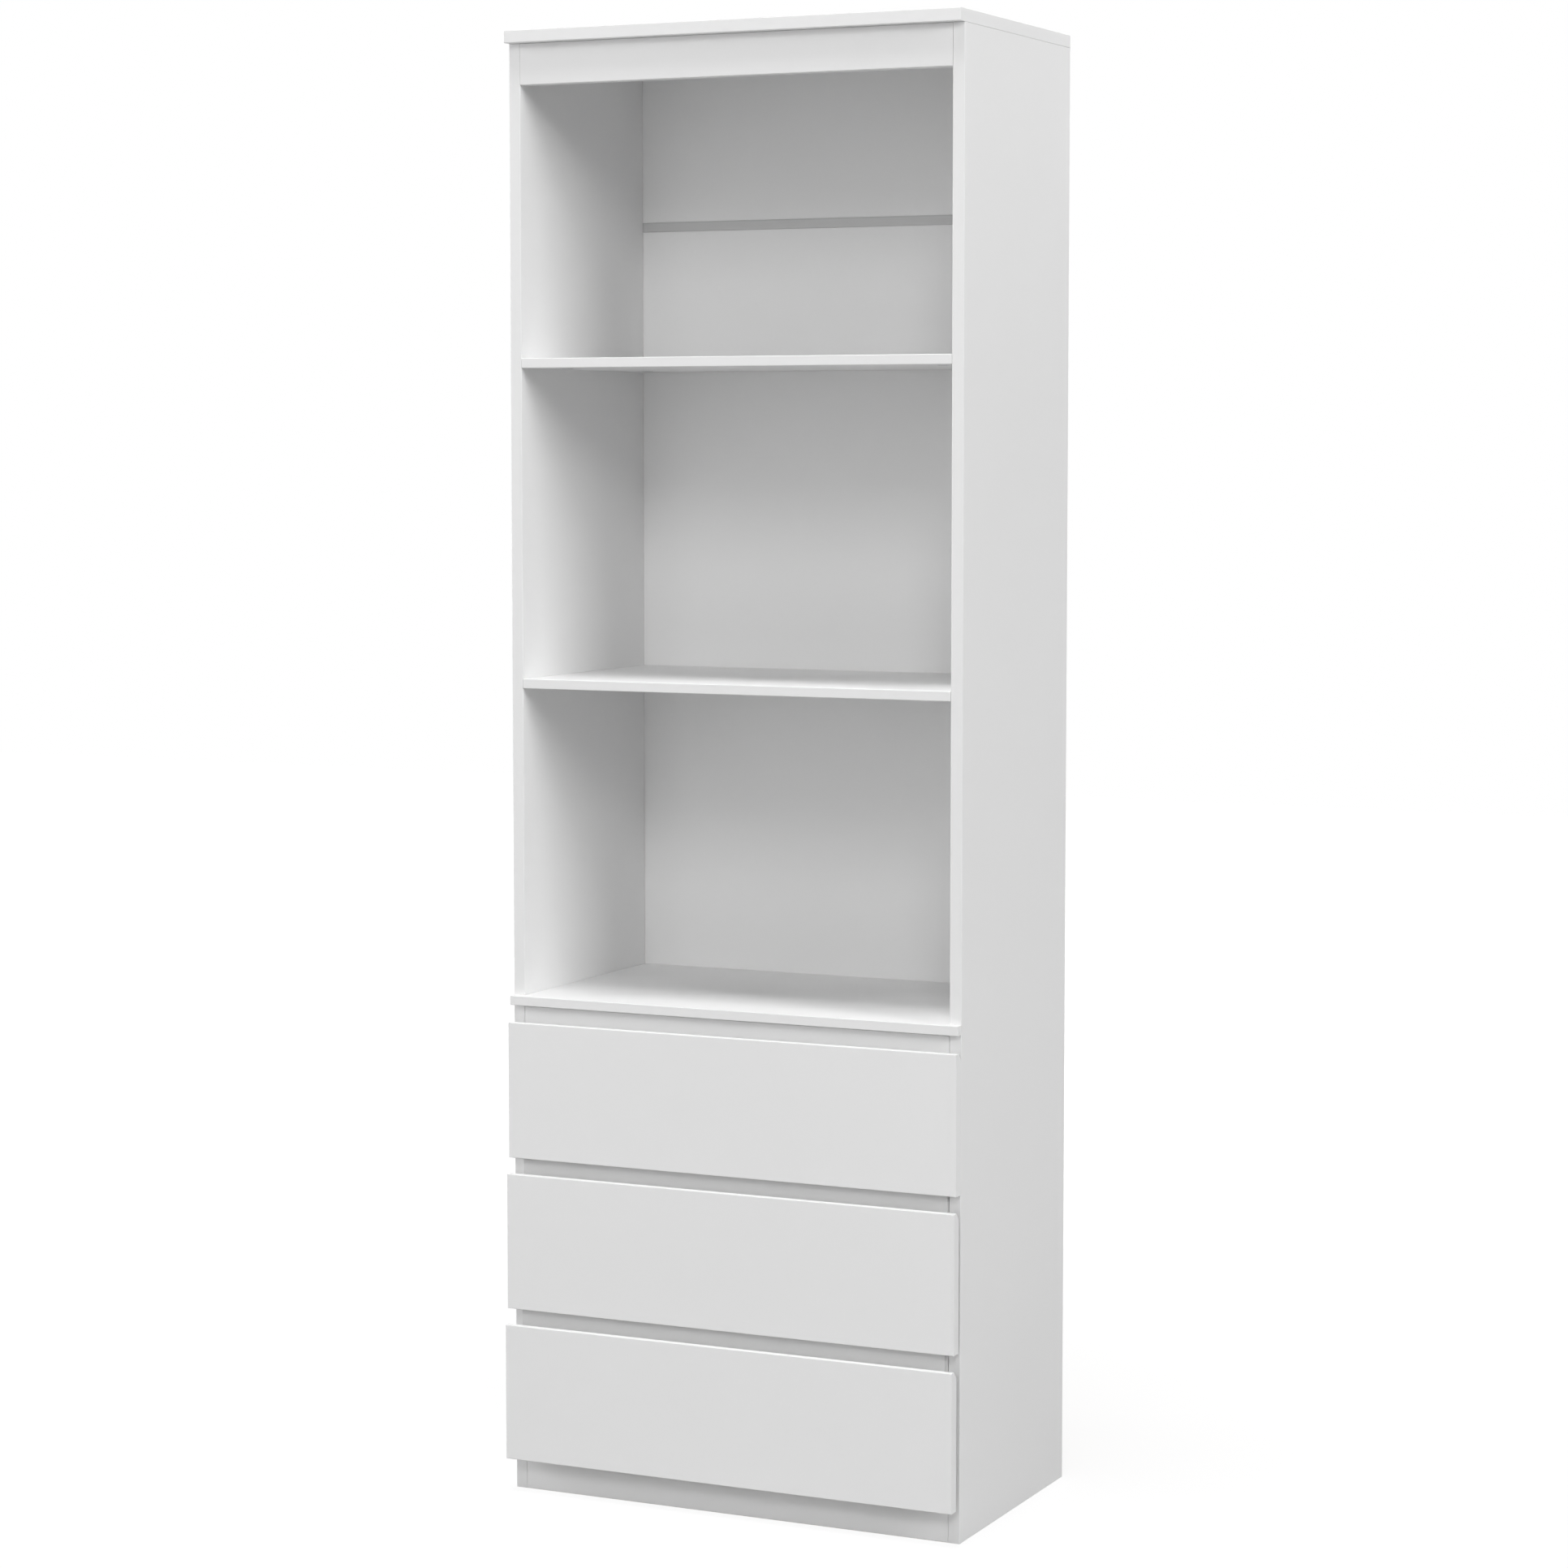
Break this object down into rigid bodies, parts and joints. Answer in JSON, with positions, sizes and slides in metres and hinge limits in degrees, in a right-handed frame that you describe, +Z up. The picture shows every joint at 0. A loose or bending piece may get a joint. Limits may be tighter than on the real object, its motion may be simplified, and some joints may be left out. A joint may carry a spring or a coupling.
{
  "type": "bookcase with drawers",
  "caption": "Tall narrow bookcase: open compartments over wide handle-less drawers on ball slides, with an overhanging top and counter and a grooved-in back.",
  "frame": {"origin": "on the floor, at the middle of the box round the bookcase as it stands, with its two lower drawers a little open", "axes": "+Z up, +X to the right of someone who faces the bookcase, +Y back towards the wall; the drawers open along -Y"},
  "size_m": [0.6, 0.361, 1.8],
  "materials": {
    "white_melamine": "satin white melamine on particle board, edges banded",
    "white_hardboard": "matt white lacquer on hardboard",
    "strip_plastic": "pale grey extruded plastic",
    "zinc_steel": "zinc-plated rolled steel",
    "cage_steel": "bright steel balls in a greased steel cage"
  },
  "bodies": {
    "cabinet": {"side_panel_left": "white_melamine", "side_panel_right": "white_melamine", "top_board": "white_melamine", "top_front_rail": "white_melamine", "shelf_upper": "white_melamine", "shelf_lower": "white_melamine", "counter_board": "white_melamine", "bottom_board": "white_melamine", "plinth_board": "white_melamine", "back_panel_upper": "white_hardboard", "back_panel_lower": "white_hardboard", "back_joint_strip": "strip_plastic", "upper_slide_cabinet_member_left": "zinc_steel", "upper_slide_cabinet_member_right": "zinc_steel", "middle_slide_cabinet_member_left": "zinc_steel", "middle_slide_cabinet_member_right": "zinc_steel", "lower_slide_cabinet_member_left": "zinc_steel", "lower_slide_cabinet_member_right": "zinc_steel"},
    "upper_drawer": {"upper_drawer_front": "white_melamine", "upper_drawer_inner_front": "white_melamine", "upper_drawer_side_left": "white_melamine", "upper_drawer_side_right": "white_melamine", "upper_drawer_back": "white_melamine", "upper_drawer_bottom": "white_hardboard", "upper_slide_drawer_member_left": "zinc_steel", "upper_slide_drawer_member_right": "zinc_steel"},
    "middle_drawer": {"middle_drawer_front": "white_melamine", "middle_drawer_inner_front": "white_melamine", "middle_drawer_side_left": "white_melamine", "middle_drawer_side_right": "white_melamine", "middle_drawer_back": "white_melamine", "middle_drawer_bottom": "white_hardboard", "middle_slide_drawer_member_left": "zinc_steel", "middle_slide_drawer_member_right": "zinc_steel"},
    "lower_drawer": {"lower_drawer_front": "white_melamine", "lower_drawer_inner_front": "white_melamine", "lower_drawer_side_left": "white_melamine", "lower_drawer_side_right": "white_melamine", "lower_drawer_back": "white_melamine", "lower_drawer_bottom": "white_hardboard", "lower_slide_drawer_member_left": "zinc_steel", "lower_slide_drawer_member_right": "zinc_steel"},
    "upper_ball_cages": {"upper_slide_ball_cage_left": "cage_steel", "upper_slide_ball_cage_right": "cage_steel"},
    "middle_ball_cages": {"middle_slide_ball_cage_left": "cage_steel", "middle_slide_ball_cage_right": "cage_steel"},
    "lower_ball_cages": {"lower_slide_ball_cage_left": "cage_steel", "lower_slide_ball_cage_right": "cage_steel"}
  },
  "joints": [
    {"name": "upper_drawer_slide", "type": "slide", "parent": "cabinet", "child": "upper_drawer", "axis": [0, -1, 0], "range_m": [0, 0.219]},
    {"name": "middle_drawer_slide", "type": "slide", "parent": "cabinet", "child": "middle_drawer", "axis": [0, -1, 0], "range_m": [-0.0053, 0.2137]},
    {"name": "lower_drawer_slide", "type": "slide", "parent": "cabinet", "child": "lower_drawer", "axis": [0, -1, 0], "range_m": [-0.0109, 0.2081]},
    {"name": "upper_cage_roll", "type": "slide", "parent": "cabinet", "child": "upper_ball_cages", "axis": [0, -1, 0], "range_m": [0, 0.11]},
    {"name": "middle_cage_roll", "type": "slide", "parent": "cabinet", "child": "middle_ball_cages", "axis": [0, -1, 0], "range_m": [-0.0027, 0.1073]},
    {"name": "lower_cage_roll", "type": "slide", "parent": "cabinet", "child": "lower_ball_cages", "axis": [0, -1, 0], "range_m": [-0.0055, 0.1045]}
  ],
  "couplings": [
    {"joint": "upper_cage_roll", "follows": "upper_drawer_slide", "ratio": 0.5},
    {"joint": "middle_cage_roll", "follows": "middle_drawer_slide", "ratio": 0.5},
    {"joint": "lower_cage_roll", "follows": "lower_drawer_slide", "ratio": 0.5}
  ]
}
